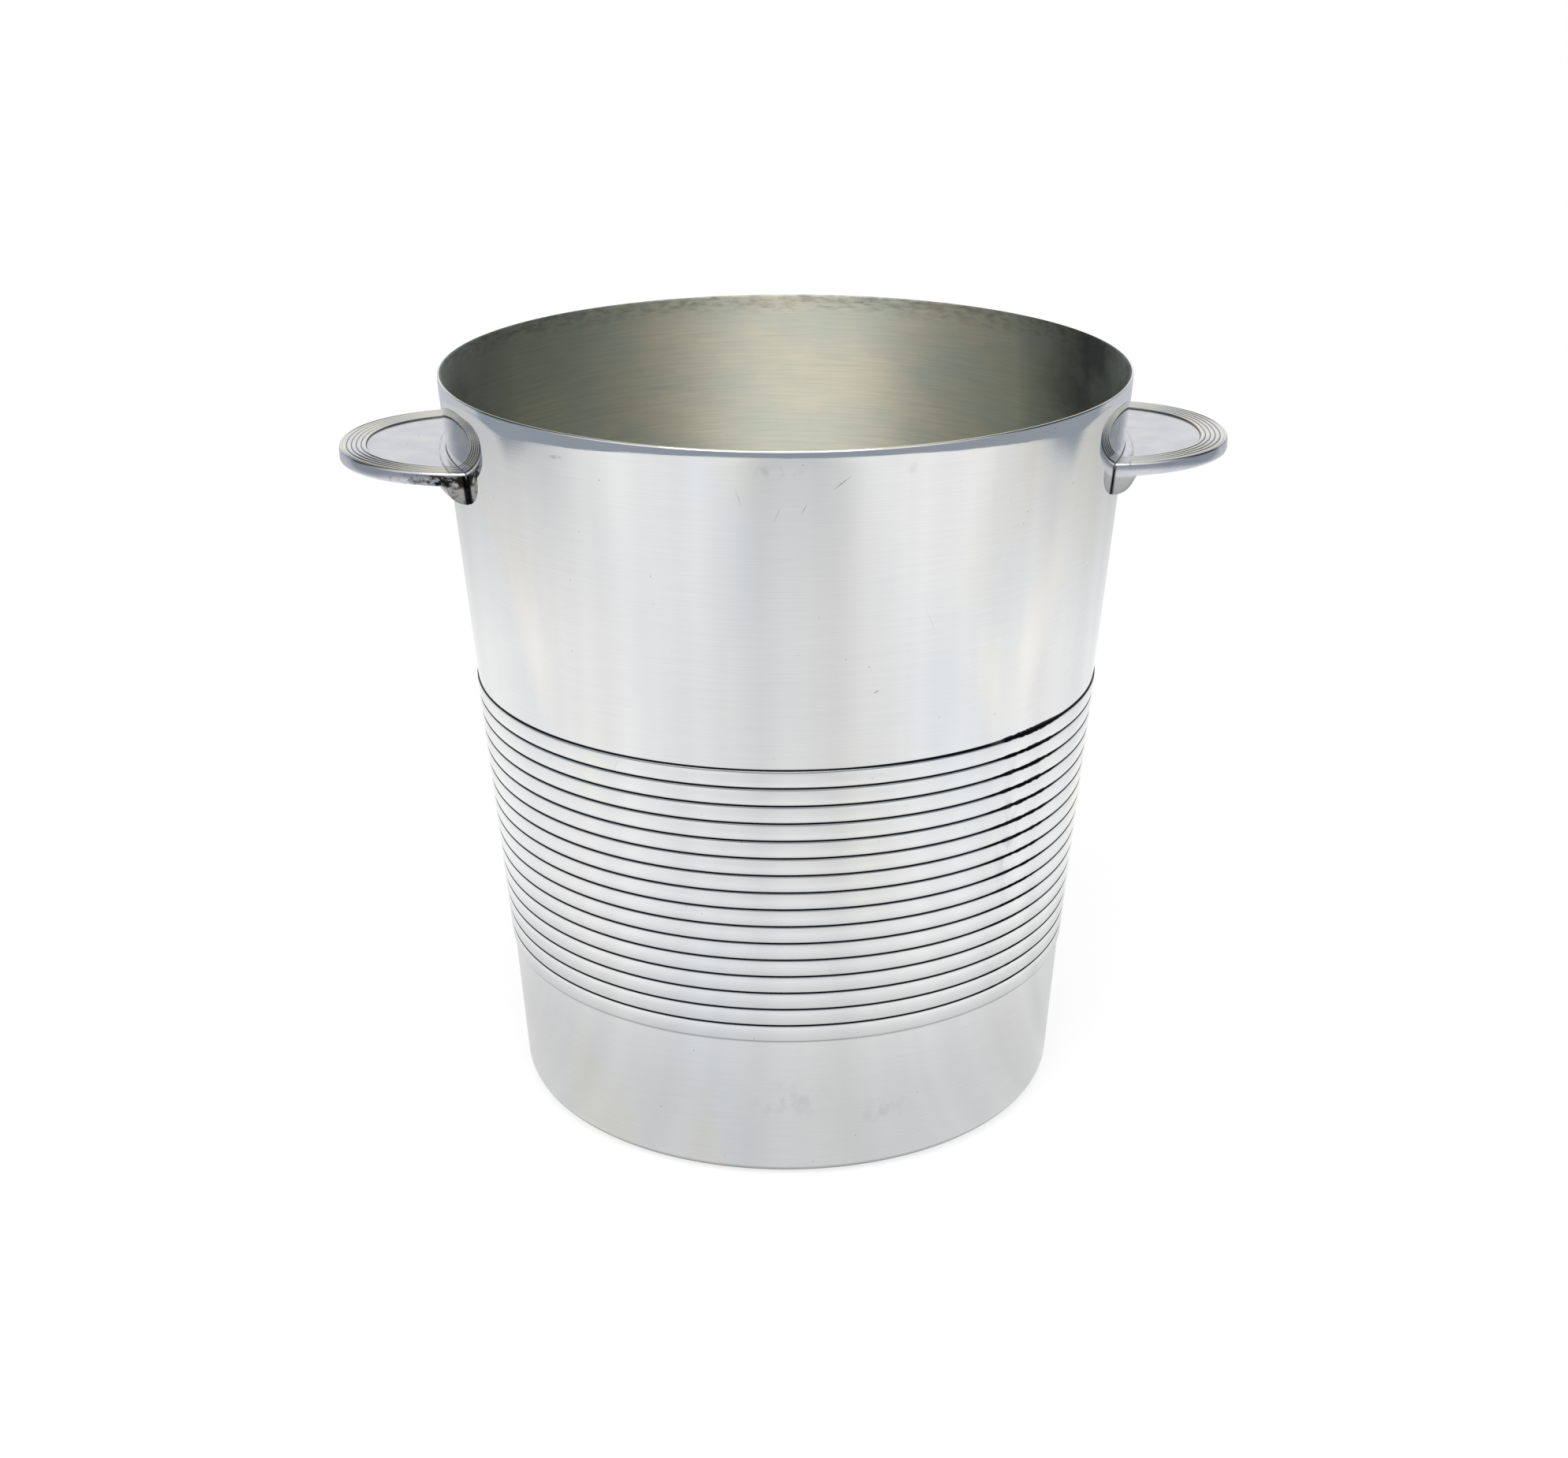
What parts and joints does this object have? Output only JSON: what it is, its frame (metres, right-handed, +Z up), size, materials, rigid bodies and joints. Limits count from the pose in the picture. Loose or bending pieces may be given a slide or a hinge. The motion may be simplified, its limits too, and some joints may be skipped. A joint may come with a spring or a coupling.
{
  "type": "champagne bucket",
  "caption": "Tapered silver-plated champagne bucket with a band of rolled beads and a tongue-shaped soldered handle on each side.",
  "frame": {"origin": "centre of the base, on the surface that the bucket stands on", "axes": "+Z up out of the mouth; the two handles lie along X, and either side of the bucket is its front"},
  "size_m": [0.258, 0.1998, 0.221],
  "materials": {
    "silver_plate": "polished",
    "cast_silver_plate": "polished",
    "silver_solder": "matte"
  },
  "bodies": {
    "root": {"bucket_body": "silver_plate", "left_handle": "cast_silver_plate", "right_handle": "cast_silver_plate", "left_handle_solder": "silver_solder", "right_handle_solder": "silver_solder"}
  },
  "joints": []
}
